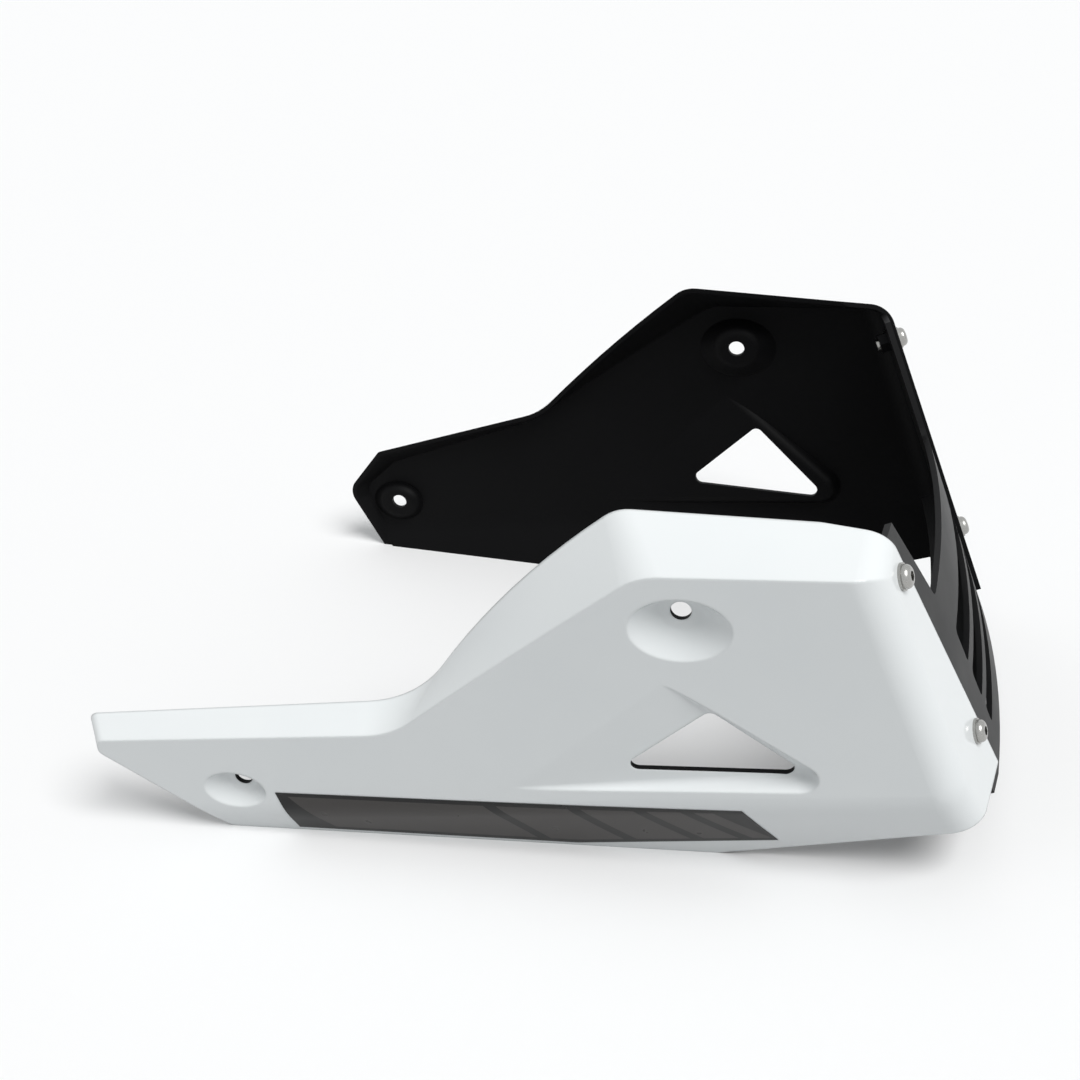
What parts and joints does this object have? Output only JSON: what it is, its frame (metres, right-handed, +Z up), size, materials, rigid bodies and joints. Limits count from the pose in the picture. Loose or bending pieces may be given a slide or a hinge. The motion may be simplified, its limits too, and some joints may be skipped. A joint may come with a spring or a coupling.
{
  "type": "motorcycle belly pan",
  "caption": "Motorcycle belly pan: moulded side panels with bevelled returns, a vent window and dished bolt seats, tied together at the front by a louvred grille.",
  "frame": {"origin": "on the surface the pan stands on, midway along its length and on the plane between the two panels", "axes": "+X forward to the grille, +Y to the left, +Z up"},
  "size_m": [0.4348, 0.3038, 0.1894],
  "materials": {
    "painted_shell": "gloss white paint on moulded plastic",
    "black_moulding": "satin black moulded plastic",
    "bright_fastener": "bright stainless",
    "black_fastener": "blackened steel"
  },
  "bodies": {
    "root": {"right_side_panel": "painted_shell", "left_side_panel": "painted_shell", "front_grille": "black_moulding", "screw_right_upper": "bright_fastener", "screw_right_lower": "bright_fastener", "screw_left_upper": "bright_fastener", "screw_left_lower": "bright_fastener", "washer_right_upper": "bright_fastener", "washer_right_lower": "bright_fastener", "washer_left_upper": "bright_fastener", "washer_left_lower": "bright_fastener", "nut_right_upper": "black_fastener", "nut_right_lower": "black_fastener", "nut_left_upper": "black_fastener", "nut_left_lower": "black_fastener"}
  },
  "joints": []
}
